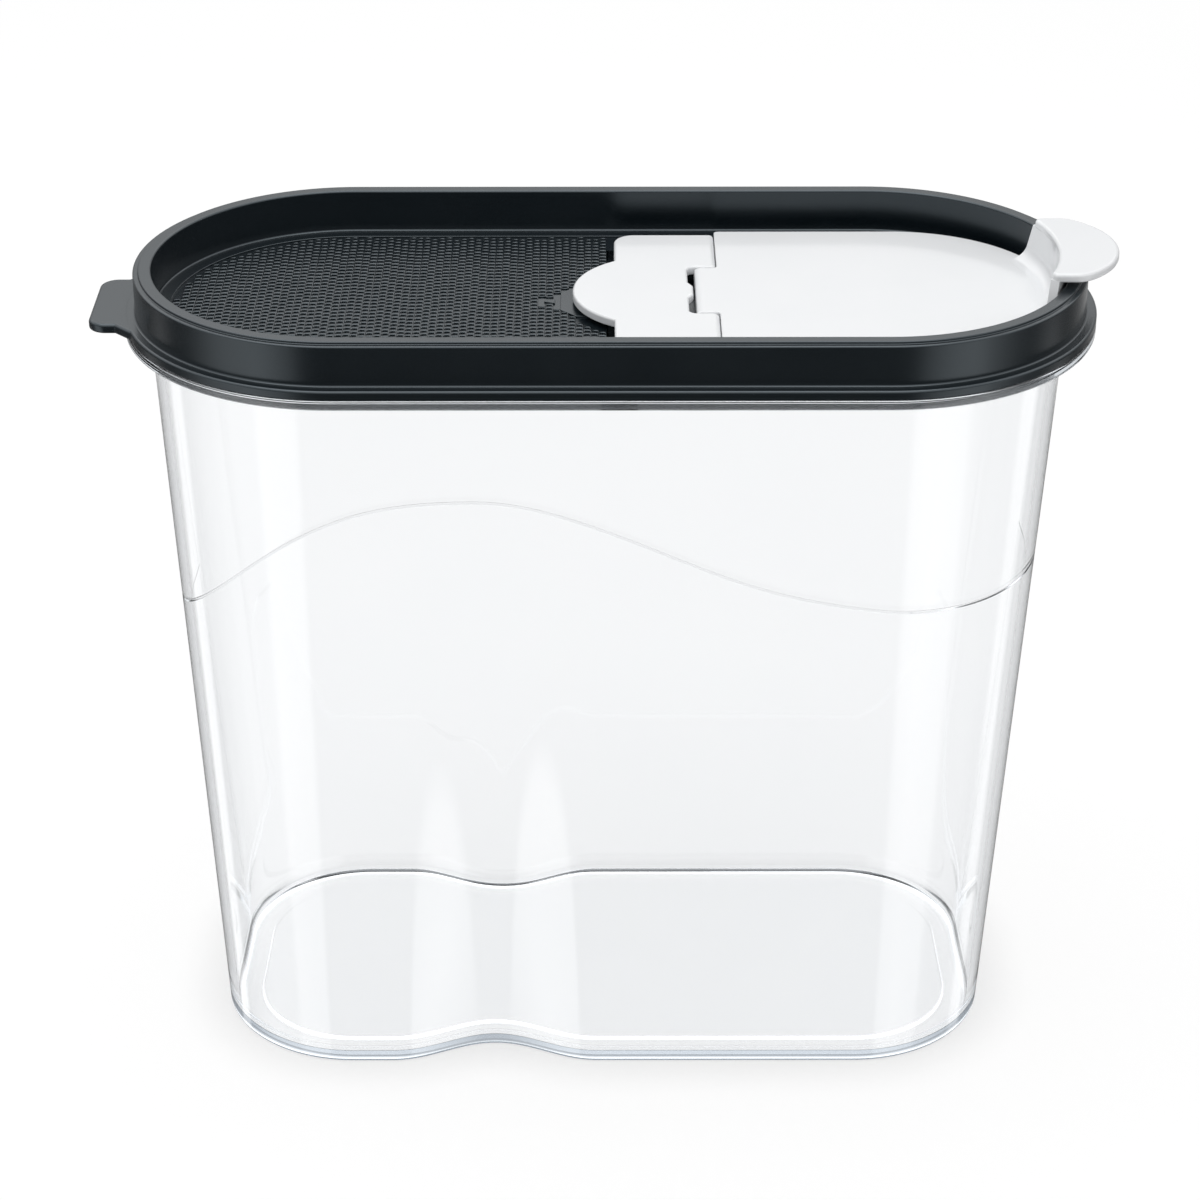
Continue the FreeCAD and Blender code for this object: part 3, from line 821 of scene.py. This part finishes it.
def finger_pad():
    left = TAB_TIP - PAD_REACH
    right = BRIDGE_LEFT - LEG_SLOT_SHOW
    w = PAD_HALF_WIDTH
    outline = round_path([
        (right, -w, 0.3),
        (right, w, 0.3),
        (left + PAD_CHAMFER, w, 0.6),
        (left, w - PAD_CHAMFER, 0.6),
        (left, PAD_CHAMFER - w, 0.6),
        (left + PAD_CHAMFER, -w, 0.6),
    ])
    base = left - POINTER_GAP
    pointer = round_path([
        (base, -POINTER_HALF, 0.15),
        (base, POINTER_HALF, 0.15),
        (left - POINTER_REACH, 0.0, 0.2),
    ])
    low = FIELD_Z - PAD_SINK
    pad = slab(outline, low, TRAY_Z, 0, PAD_EDGE)
    return joined(pad, slab(pointer, low, TRAY_Z, 0, PAD_EDGE))


def in_field(x, y):
    """True where the net of pits covers the tray's field."""
    half = RIM_HALF - FIELD_INSET - NET_MARGIN
    end = min(max(x, PLAIN_X), POUR_X)
    if math.hypot(x - end, y) > half:
        return False
    if x > BRIDGE_LEFT - LEG_SLOT_SHOW - NET_CLEAR:
        return False
    if math.hypot(x - TAB_X, y) < TAB_RADIUS + NET_CLEAR_OF_TAB:
        return False
    pad_left = TAB_TIP - PAD_REACH
    pad_half = PAD_HALF_WIDTH - max(0.0, pad_left + PAD_CHAMFER - x)
    if x > pad_left - NET_CLEAR and abs(y) < pad_half + NET_CLEAR:
        return False
    return not (x > pad_left - POINTER_REACH - PIT_PITCH_X and abs(y) < POINTER_HALF + PIT_PITCH_Y / 2)


def grain_net():
    """Sheet with a pit in every cell, rows slightly out of step from column to column."""
    draw = random.Random(NET_SEED)
    net = bmesh.new()
    columns = int((BRIDGE_LEFT - PLAIN_X + RIM_HALF) / PIT_PITCH_X)
    rows = int(2 * RIM_HALF / PIT_PITCH_Y)
    for column in range(columns):
        x = BRIDGE_LEFT - (column + 0.5) * PIT_PITCH_X
        step = draw.uniform(-0.5, 0.5) * PIT_PITCH_Y
        for row in range(rows):
            y = (row + 0.5 - rows / 2) * PIT_PITCH_Y + step
            shift = Vector((draw.uniform(-PIT_JITTER, PIT_JITTER), draw.uniform(-PIT_JITTER, PIT_JITTER)))
            if not in_field(x, y):
                continue
            centre = Vector((x, y))
            outer = []
            inner = []
            for index in range(PIT_SIDES):
                angle = math.radians(360 / PIT_SIDES * index)
                across = Vector((math.cos(angle), math.sin(angle)))
                box = across / max(abs(across.x), abs(across.y))
                soft = (across + box) / 2
                outer.append(centre + Vector((box.x * PIT_PITCH_X / 2, box.y * PIT_PITCH_Y / 2)))
                inner.append(centre + shift + Vector((soft.x * PIT_HALF_X, soft.y * PIT_HALF_Y)))
            rings = []
            for ring in (outer, inner):
                rings.append([net.verts.new(p * MM) for p in at_height(ring, FIELD_Z + NET_HEIGHT)])
            for index in range(PIT_SIDES):
                after = (index + 1) % PIT_SIDES
                net.faces.new((rings[0][index], rings[0][after], rings[1][after], rings[1][index]))
    return net


lid = piece("lid_shell", lid_shell(), "lid", DARK)
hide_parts("lid")
piece("lid_pull_tab", pull_tab(), "lid", DARK)
piece("lid_finger_pad", finger_pad(), "lid", DARK)
net = mesh_object("lid_grain_net", grain_net())
thick = net.modifiers.new("thick", "SOLIDIFY")
thick.thickness = (NET_HEIGHT + THIN_JOIN) * MM
thick.offset = -1.0
piece("lid_grain_net", net, "lid", DARK)


# White bridge and pour flap

def seam_x(z, radius):
    """Where the seam between bridge and flap lies at height z, round the hinge axis."""
    return HINGE_X + math.sqrt(radius ** 2 - (z - HINGE_Z) ** 2)


def bridge_outline(seam):
    w = BRIDGE_HALF
    start = Vector((BRIDGE_LEFT, TAB_HALF_WIDTH))
    end = Vector((BRIDGE_LEFT, -TAB_HALF_WIDTH))
    tab = arc_points(Vector((TAB_X, 0)), start, end, FINE_ARC_STEP)
    right = round_path([
        (BRIDGE_LEFT, -TAB_HALF_WIDTH, 0),
        (BRIDGE_LEFT, -w, BRIDGE_CORNER),
        (seam, -w, 0.6),
        (seam, -NOTCH_HALF, 1.0),
        (NOTCH_LEFT, -NOTCH_HALF, 1.8),
        (NOTCH_LEFT, -STOP_HALF, 0.8),
        (STOP_RIGHT, STOP_SLOPE - STOP_HALF, 0.7),
        (STOP_RIGHT, STOP_HALF - STOP_SLOPE, 0.7),
        (NOTCH_LEFT, STOP_HALF, 0.8),
        (NOTCH_LEFT, NOTCH_HALF, 1.8),
        (seam, NOTCH_HALF, 1.0),
        (seam, w, 0.6),
        (BRIDGE_LEFT, w, BRIDGE_CORNER),
        (BRIDGE_LEFT, TAB_HALF_WIDTH, 0),
    ])
    return tab + right[1:-1]


def bridge_plate():
    rings = []
    for inset, z in edge_levels(PLATE_UNDER - JOIN, PLATE_TOP, *BRIDGE_EDGES):
        rings.append(at_height(inset_path(bridge_outline(seam_x(z, SEAM_RADIUS)), inset), z))
    return loft(rings)


def bridge_under():
    """Skirt, legs and knuckles under the plate."""
    w = BRIDGE_HALF - BRIDGE_CORNER
    skirt = rectangle(BRIDGE_LEFT + BRIDGE_SKIRT_INSET, NOTCH_LEFT - BRIDGE_SKIRT_SETBACK, -w, w,
                      BRIDGE_SKIRT_CORNER)
    parts = [slab(skirt, FIELD_Z + SKIRT_GAP, PLATE_UNDER, BRIDGE_SKIRT_EDGE, 0)]
    for side in (-1, 1):
        y = side * LEG_CENTRE_Y
        reach = LEG_LENGTH / 2
        leg = rectangle(LEG_LEFT, LEG_LEFT + LEG_THICK, y - reach, y + reach, LEG_CORNER)
        parts.append(slab(leg, LEG_UNDER, FIELD_Z + DEEP_JOIN, LEG_EDGE, 0))
        near, far = sorted((side * NOTCH_HALF, side * (NOTCH_HALF + KNUCKLE_LENGTH)))
        parts.append(rod(HINGE_X, HINGE_Z, KNUCKLE_RADIUS - KNUCKLE_SINK, near, far, KNUCKLE_EDGE))
    return joined(*parts)


def flap_outline(seam, barrel):
    """Plate of the flap: seam edges beside the tongue, which ends in the hinge barrel."""
    w = FLAP_HALF
    t = TONGUE_HALF
    centre = FLAP_RIGHT - w
    middle = Vector((centre, 0))
    tip = Vector((FLAP_RIGHT, 0))
    points = arc_points(middle, Vector((centre, -w)), tip, FINE_ARC_STEP)
    points += arc_points(middle, tip, Vector((centre, w)), FINE_ARC_STEP)[1:]
    left = round_path([
        (centre, w, 0),
        (seam, w, 1.2),
        (seam, t, 1.0),
        (barrel, t, 0.6),
        (barrel, -t, 0.6),
        (seam, -t, 1.0),
        (seam, -w, 1.2),
        (centre, -w, 0),
    ])
    return points + left[1:-1]


def flap_plate():
    rings = []
    for inset, z in edge_levels(PLATE_UNDER, PLATE_TOP, *FLAP_EDGES):
        rise = max(0.0, z - PLATE_TOP + TONGUE_ROUND)
        reach = BARREL_RADIUS - TONGUE_ROUND + math.sqrt(TONGUE_ROUND ** 2 - rise ** 2)
        outline = flap_outline(seam_x(z, SEAM_RADIUS + SEAM_CLEARANCE), HINGE_X - reach)
        rings.append(at_height(inset_path(outline, inset), z))
    return loft(rings)


def flap_under():
    """Skirt and sealing lip under the plate, and the hinge barrel with its pins."""
    parts = []
    left = HINGE_X + SEAM_RADIUS + SEAM_CLEARANCE + SKIRT_SETBACK
    border = pour_outline(left, FLAP_RIGHT - SKIRT_INSET, FLAP_HALF - SKIRT_INSET, SKIRT_CORNER)
    lip = pour_outline(OPENING_LEFT + LIP_CLEARANCE, OPENING_RIGHT - LIP_CLEARANCE,
                       OPENING_HALF - LIP_CLEARANCE, OPENING_CORNER - LIP_CLEARANCE)
    for outline, low, wall in ((border, SKIRT_UNDER, SKIRT_WALL), (lip, LIP_UNDER, LIP_WALL)):
        levels = edge_levels(low, PLATE_UNDER + JOIN, SKIRT_EDGE, 0)
        outside = [at_height(inset_path(outline, inset), z) for inset, z in levels]
        inside = [at_height(inset_path(outline, wall - inset), z) for inset, z in reversed(levels)]
        parts.append(loft(outside + inside, loop=True))
    barrel_end = TONGUE_HALF - BARREL_EDGE
    parts.append(rod(HINGE_X, HINGE_Z, BARREL_RADIUS - BARREL_SINK, -barrel_end, barrel_end, BARREL_EDGE))
    pin_end = NOTCH_HALF + PIN_REACH
    parts.append(rod(HINGE_X, HINGE_Z, PIN_RADIUS, -pin_end, pin_end, PIN_EDGE))
    return joined(*parts)


def thumb_outline():
    """Tab with straight sides and a wide round tip, hollowed on the riser's side."""
    w = RISER_HALF_WIDTH
    inner_x = POUR_X + math.sqrt(RISER_INNER ** 2 - w ** 2)
    tip_centre = Vector((THUMB_TIP - THUMB_TIP_RADIUS, 0))
    reach = THUMB_TIP_RADIUS - THUMB_CORNER
    corner_y = w - THUMB_CORNER
    corner = Vector((tip_centre.x + math.sqrt(reach ** 2 - corner_y ** 2), corner_y))
    meet = tip_centre + (corner - tip_centre).normalized() * THUMB_TIP_RADIUS
    tip = Vector((THUMB_TIP, 0))
    upper = arc_points(tip_centre, tip, meet, FINE_ARC_STEP)
    upper += arc_points(corner, meet, Vector((corner.x, w)))[1:]
    inner = arc_points(Vector((POUR_X, 0)), Vector((inner_x, w)), Vector((inner_x, -w)), RISER_ARC_STEP)
    inner = inner[THUMB_TRIM:-THUMB_TRIM]
    upper += round_path([(corner.x, w, 0), (inner_x, w, THUMB_INNER_CORNER), (*inner[0], 0)])[1:-1]
    lower = [Vector((p.x, -p.y)) for p in reversed(upper)]
    return upper + inner + lower[:-1]


def riser():
    """Curved wall from the plate up to the thumb tab, with a soft foot."""
    foot = RISER_INNER - RISER_FOOT
    face = RISER_INNER + THIN_JOIN
    skin = PLATE_TOP + RISER_SKIN
    top = THUMB_UNDER + DEEP_JOIN
    section = round_path([
        (foot, PLATE_TOP - RISER_SINK, 0),
        (foot, skin, 0),
        (face, skin, RISER_FILLET),
        (face, top, 0),
        (RISER_OUTER, top, 0),
        (RISER_OUTER, PLATE_UNDER, RISER_EDGE),
        (RISER_OUTER - RISER_UNDER_WIDTH, PLATE_UNDER, 0),
    ])
    rings = []
    for index in range(RISER_STEPS + 1):
        ring = []
        for p in section:
            drop = min(1.0, (THUMB_UNDER - p.y) / (THUMB_UNDER - PLATE_TOP))
            half = RISER_HALF_WIDTH + RISER_FLARE * max(0.0, drop)
            angle = math.asin(half / RISER_OUTER) * (2 * index / RISER_STEPS - 1)
            ring.append(Vector((POUR_X + p.x * math.cos(angle), p.x * math.sin(angle), p.y)))
        rings.append(ring)
    return loft(rings)


bridge = piece("bridge_plate", bridge_plate(), "bridge", WHITE)
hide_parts("hinge_bridge")
piece("bridge_underside", bridge_under(), "bridge", WHITE)
flap = piece("flap_plate", flap_plate(), "flap", WHITE)
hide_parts("pour_flap")
piece("flap_underside", flap_under(), "flap", WHITE)
piece("flap_riser", riser(), "flap", WHITE)
thumb_tab = slab(thumb_outline(), THUMB_UNDER, THUMB_TOP, *THUMB_EDGES)
piece("flap_thumb_tab", thumb_tab, "flap", WHITE)


# Floor, light and camera

FLOOR_RADIUS = 4000.0
FLOOR_SIDES = 64
FLOOR_GAP = 0.05
FLOOR_GLOW = 0.83
# Painted contact shadow: the floor's glow is dimmed where ambient occlusion finds the tub's foot close by
CONTACT_REACH = 14.0
CONTACT_SAMPLES = 6
CONTACT_SHADOW_SEEN = 0.3                      # painted contact shadow: darkening of the floor's glow beside the foot
CONTACT_SHADOW_THROUGH = 0.005                 # and of the floor seen through the tub
FLOOR_COLOUR = (0.2, 0.2, 0.2, 1.0)
FLOOR_BOUNCE = (0.85, 0.85, 0.85, 1.0)
AMBIENT = 0.62
BACKGROUND = (0.99, 0.99, 0.99, 1.0)
KEY_POWER = 8.0
KEY_SIZE = 1200.0
KEY_PLACE = (-150.0, -50.0, 1300.0)

# Studio seen in reflections below the horizon: brightness by share of a half turn from the back,
# with a minus sign on the left; the lid sees the upper boxes, the leaning tub the lower ones
UPPER_BOXES = [
    (-1.0, 0.15), (-0.88, 0.15), (-0.83, 0.5), (-0.77, 1.1), (-0.7, 1.6), (-0.63, 1.25), (-0.56, 0.45),
    (-0.5, 0.13), (-0.25, 0.1), (-0.15, 0.3), (0.0, 0.6), (0.15, 0.5), (0.25, 0.24), (0.35, 0.14),
    (0.5, 0.12), (0.56, 0.32), (0.63, 0.95), (0.7, 1.45), (0.77, 1.05), (0.83, 0.45), (0.88, 0.15),
    (1.0, 0.15),
]
LOWER_BOXES = [
    (-1.0, 0.08), (-0.875, 0.08), (-0.855, 1.5), (-0.73, 1.9), (-0.705, 0.85), (-0.58, 0.8), (-0.5, 0.35),
    (-0.43, 0.05), (-0.385, 0.05), (-0.36, 1.4), (-0.31, 1.4), (-0.285, 0.1), (0.0, 0.2), (0.33, 0.05),
    (0.365, 1.4), (0.42, 1.4), (0.45, 0.4), (0.5, 0.15), (0.63, 0.25), (0.66, 0.5), (0.685, 1.5),
    (0.8, 1.9), (0.865, 1.45), (0.89, 0.08), (1.0, 0.08),
]
BOX_STRENGTH = 2.0                      # the brightest level that a box can have
BOXES_PART = (-0.425, -0.41)            # sines of the angles between which the lower ones give way
STUDIO_FRONT = (0.15, 0.15, 0.15, 1.0)
STUDIO_LOW = (-0.68, -0.61)             # sines of the angles between which the soft boxes end
STUDIO_HORIZON = (-0.12, 0.12)
OVERHEAD = (0.36, 0.43)                 # and between which a soft box overhead begins
SKY_LOW = (0.62, 0.63, 0.64, 1.0)
OVERHEAD_LEVEL = 1.7
STUDIO_SIDES = (0.3, 0.31, 0.32, 1.0)
BACKDROP_FRONT = (0.1, 0.4)             # how far to the back a ray points where the backdrop begins


def seen_rays(nodes, *kinds):
    """1 for rays of the named kinds, else 0."""
    path = nodes.add("ShaderNodeLightPath")
    total = path.outputs[kinds[0]]
    for kind in kinds[1:]:
        total = nodes.math("MAXIMUM", total, path.outputs[kind])
    return total


def floor_material():
    """Pale floor that reads as the background's white, takes the real shadow in its diffuse part, and has a
    painted contact shadow in its glow near the foot.
    """
    material = bpy.data.materials.new("pale_floor")
    material.use_nodes = True
    nodes = Nodes(material.node_tree)
    bounce = nodes.add("ShaderNodeBsdfDiffuse")
    bounce.inputs["Color"].default_value = FLOOR_BOUNCE
    shade = nodes.add("ShaderNodeBsdfDiffuse")
    shade.inputs["Color"].default_value = FLOOR_COLOUR
    glow = nodes.add("ShaderNodeEmission")
    # Painted contact shadow: ambient occlusion dims the glow beside the foot, and a little under the tub
    nearness = nodes.add("ShaderNodeAmbientOcclusion", samples=CONTACT_SAMPLES)
    nearness.inputs["Distance"].default_value = CONTACT_REACH * MM
    covered = nodes.math("SUBTRACT", 1.0, nearness.outputs["AO"])
    through = seen_rays(nodes, "Is Transmission Ray")
    depth = nodes.span(through, FLOOR_GLOW * CONTACT_SHADOW_SEEN, FLOOR_GLOW * CONTACT_SHADOW_THROUGH)
    painted_shadow = nodes.math("MULTIPLY", covered, depth)
    nodes.link(nodes.math("SUBTRACT", FLOOR_GLOW, painted_shadow), glow.inputs["Strength"])
    seen = nodes.add("ShaderNodeAddShader")
    nodes.link(shade.outputs[0], seen.inputs[0])
    nodes.link(glow.outputs[0], seen.inputs[1])
    mix = nodes.add("ShaderNodeMixShader")
    nodes.link(seen_rays(nodes, "Is Camera Ray", "Is Glossy Ray", "Is Transmission Ray"), mix.inputs[0])
    nodes.link(bounce.outputs[0], mix.inputs[1])
    nodes.link(seen.outputs[0], mix.inputs[2])
    output = nodes.add("ShaderNodeOutputMaterial")
    nodes.link(mix.outputs[0], output.inputs["Surface"])
    return material


def make_floor():
    outline = [Vector((FLOOR_RADIUS * math.cos(a), FLOOR_RADIUS * math.sin(a), -FLOOR_GAP)) * MM
               for a in (math.tau * index / FLOOR_SIDES for index in range(FLOOR_SIDES))]
    data = bpy.data.meshes.new("floor")
    data.from_pydata(outline, [], [list(range(FLOOR_SIDES))])
    floor = bpy.data.objects.new("floor", data)
    bpy.context.scene.collection.objects.link(floor)
    data.materials.append(floor_material())
    floor.visible_glossy = False


def background(nodes, strength, colour=None):
    node = nodes.add("ShaderNodeBackground")
    node.inputs["Strength"].default_value = strength
    if colour is not None:
        node.inputs["Color"].default_value = colour
    return node


def soft_boxes(nodes, share, levels):
    """Soft boxes whose brightness changes with the direction round the part."""
    node = background(nodes, BOX_STRENGTH)
    stops = [((place + 1) / 2, (level / BOX_STRENGTH,) * 3) for place, level in levels]
    nodes.link(nodes.ramp(share, stops), node.inputs["Color"])
    return node


def blend(nodes, value, low, high, below, above):
    """One shader below a value and another above it."""
    rise = nodes.add("ShaderNodeMapRange")
    rise.inputs["From Min"].default_value = low
    rise.inputs["From Max"].default_value = high
    nodes.link(value, rise.inputs["Value"])
    step = nodes.add("ShaderNodeMixShader")
    nodes.link(rise.outputs["Result"], step.inputs[0])
    nodes.link(below.outputs[0], step.inputs[1])
    nodes.link(above.outputs[0], step.inputs[2])
    return step


def make_world():
    """White surroundings, a plain level of light, and soft boxes that show in reflections."""
    world = bpy.data.worlds.new("studio")
    bpy.context.scene.world = world
    world.use_nodes = True
    nodes = Nodes(world.node_tree)
    split = nodes.add("ShaderNodeSeparateXYZ")
    nodes.link(nodes.add("ShaderNodeTexCoord").outputs["Generated"], split.inputs[0])
    turn = nodes.math("ARCTAN2", split.outputs["X"], split.outputs["Y"])
    share = nodes.math("MULTIPLY_ADD", turn, 0.5 / math.pi, 0.5)
    reflected = background(nodes, 1.0, STUDIO_FRONT)
    steps = (
        (STUDIO_LOW, soft_boxes(nodes, share, LOWER_BOXES)),
        (BOXES_PART, soft_boxes(nodes, share, UPPER_BOXES)),
        (STUDIO_HORIZON, background(nodes, 1.0, SKY_LOW)),
        (OVERHEAD, background(nodes, OVERHEAD_LEVEL, BACKGROUND)),
    )
    for (low, high), above in steps:
        reflected = blend(nodes, split.outputs["Z"], low, high, reflected, above)
    ambient = background(nodes, AMBIENT, BACKGROUND)
    lit = nodes.add("ShaderNodeMixShader")
    nodes.link(seen_rays(nodes, "Is Glossy Ray"), lit.inputs[0])
    nodes.link(ambient.outputs[0], lit.inputs[1])
    nodes.link(reflected.outputs[0], lit.inputs[2])
    backdrop = background(nodes, 1.0, BACKGROUND)
    bent = blend(nodes, split.outputs["Y"], *BACKDROP_FRONT, background(nodes, 1.0, STUDIO_SIDES), backdrop)
    through = nodes.add("ShaderNodeMixShader")
    nodes.link(seen_rays(nodes, "Is Transmission Ray"), through.inputs[0])
    nodes.link(lit.outputs[0], through.inputs[1])
    nodes.link(bent.outputs[0], through.inputs[2])
    shown = nodes.add("ShaderNodeMixShader")
    nodes.link(seen_rays(nodes, "Is Camera Ray"), shown.inputs[0])
    nodes.link(through.outputs[0], shown.inputs[1])
    nodes.link(backdrop.outputs[0], shown.inputs[2])
    output = nodes.add("ShaderNodeOutputWorld")
    nodes.link(shown.outputs[0], output.inputs["Surface"])


def make_key():
    """Large soft light overhead."""
    data = bpy.data.lights.new("key", "AREA")
    data.energy = KEY_POWER
    data.size = KEY_SIZE * MM
    key = bpy.data.objects.new("key", data)
    key.location = Vector(KEY_PLACE) * MM
    key.visible_camera = False
    key.visible_transmission = False
    bpy.context.scene.collection.objects.link(key)


# Camera of the photograph: distance in front of the part, height, tilt and focal length
CAMERA_FRONT = 663.2
CAMERA_HEIGHT = 456.2
CAMERA_TILT = 0.491
CAMERA_ROLL = 0.001
FOCAL_PIXELS = 3208.7
FRAME_PIXELS = 1200.0
SENSOR_WIDTH = 36.0
CLIP_START = 10.0


def make_camera():
    data = bpy.data.cameras.new("camera")
    data.sensor_fit = "HORIZONTAL"
    data.sensor_width = SENSOR_WIDTH
    data.lens = SENSOR_WIDTH * FOCAL_PIXELS / FRAME_PIXELS
    data.clip_start = CLIP_START * MM
    camera = bpy.data.objects.new("camera", data)
    camera.location = Vector((0, -CAMERA_FRONT, CAMERA_HEIGHT)) * MM
    camera.rotation_euler = (math.pi / 2 - CAMERA_TILT, CAMERA_ROLL, 0)
    bpy.context.scene.collection.objects.link(camera)
    bpy.context.scene.camera = camera


make_floor()
make_world()
make_key()
make_camera()
bpy.context.scene.view_settings.view_transform = "Standard"
